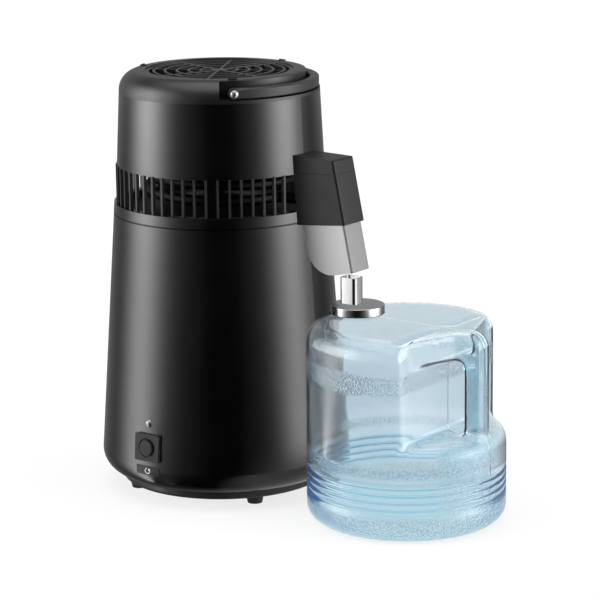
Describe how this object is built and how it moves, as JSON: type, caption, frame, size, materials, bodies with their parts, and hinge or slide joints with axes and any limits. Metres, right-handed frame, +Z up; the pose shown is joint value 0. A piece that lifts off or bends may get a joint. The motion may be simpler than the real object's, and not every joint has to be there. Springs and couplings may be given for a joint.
{
  "type": "countertop water distiller",
  "caption": "Countertop water distiller: tapered boiler base, lift-off condenser head with fan grille, carrying handle and steel spout, and a clear collecting jug with a side grip.",
  "frame": {"origin": "on the counter, below the boiler's axis", "axes": "+Z up, +X towards the spout and the jug, -Y towards the reset button; millimetres in the source, metres here"},
  "size_m": [0.3992, 0.2297, 0.3797],
  "materials": {
    "shell_paint": "satin black paint",
    "black_plastic": "fine satin",
    "button_plastic": "satin",
    "inner_plastic": "moulded",
    "label_plate": "printed film, bare",
    "steel": "bright stainless",
    "steel_hardware": "plated",
    "heater_aluminium": "cast",
    "motor_can": "enamel",
    "pin_brass": "plain",
    "foot_rubber": "moulded",
    "seal_silicone": "translucent silicone",
    "jug_plastic": "clear, pale blue"
  },
  "bodies": {
    "base": {"base_pan": "black_plastic", "feet": "foot_rubber", "foot_screws": "steel_hardware", "base_housing": "shell_paint", "boiler_pot": "steel", "tie_rods": "steel_hardware", "pan_screws": "steel_hardware", "heater_plate": "heater_aluminium", "heating_element": "steel_hardware", "heater_clamp": "steel_hardware", "clamp_nut": "steel_hardware", "boil_dry_thermostat": "inner_plastic", "reset_bezel": "black_plastic", "reset_switch": "inner_plastic", "reset_label": "label_plate", "case_screw": "steel_hardware", "power_inlet": "black_plastic", "inlet_pins": "pin_brass"},
    "button": {"reset_button": "button_plastic"},
    "head": {"fan_inlet": "black_plastic", "fan_inlet_pins": "pin_brass", "vent_ring": "black_plastic", "head_shell": "shell_paint", "top_cover": "black_plastic", "fan_grille": "black_plastic", "steam_dome": "steel", "dome_gasket": "seal_silicone", "condenser_coil": "steel", "coil_brackets": "steel", "motor_bracket": "steel_hardware", "bracket_screws": "steel_hardware", "fan_motor": "motor_can", "handle_screws": "steel_hardware", "spout_housing": "black_plastic", "spout_chute": "steel"},
    "fan": {"fan_shaft": "steel_hardware", "fan_blades": "inner_plastic", "fan_nut": "steel_hardware"},
    "handle": {"carry_handle": "black_plastic"},
    "spout_lid": {"spout_cover": "black_plastic"},
    "jug": {"jug_body": "jug_plastic"},
    "jug_lid": {"jug_cap": "steel", "cap_seal": "seal_silicone", "drip_tube": "steel"}
  },
  "joints": [
    {"name": "reset_press", "type": "slide", "parent": "base", "child": "button", "axis": [0, 0.9976, -0.0696], "range_m": [0, 0.0022], "stiffness_N_per_m": 400},
    {"name": "head_lift", "type": "slide", "parent": "base", "child": "head", "axis": [0, 0, 1], "range_m": [0, 0.25]},
    {"name": "fan_spin", "type": "hinge", "parent": "head", "child": "fan", "pos_m": [0, 0, 0.3575], "axis": [0, 0, 1], "continuous": true},
    {"name": "handle_swing", "type": "hinge", "parent": "head", "child": "handle", "pos_m": [0, 0, 0.3678], "axis": [0.7254, -0.6884, 0], "range_deg": [0, 100]},
    {"name": "spout_cover_lift", "type": "slide", "parent": "head", "child": "spout_lid", "axis": [0, 0, 1], "range_m": [0, 0.04]},
    {"name": "jug_pull", "type": "slide", "parent": "base", "child": "jug", "axis": [1, 0, 0], "range_m": [0, 0.25]},
    {"name": "cap_turn", "type": "hinge", "parent": "jug", "child": "jug_lid", "pos_m": [0.14927, 0, 0.18], "axis": [0, 0, 1], "continuous": true}
  ]
}
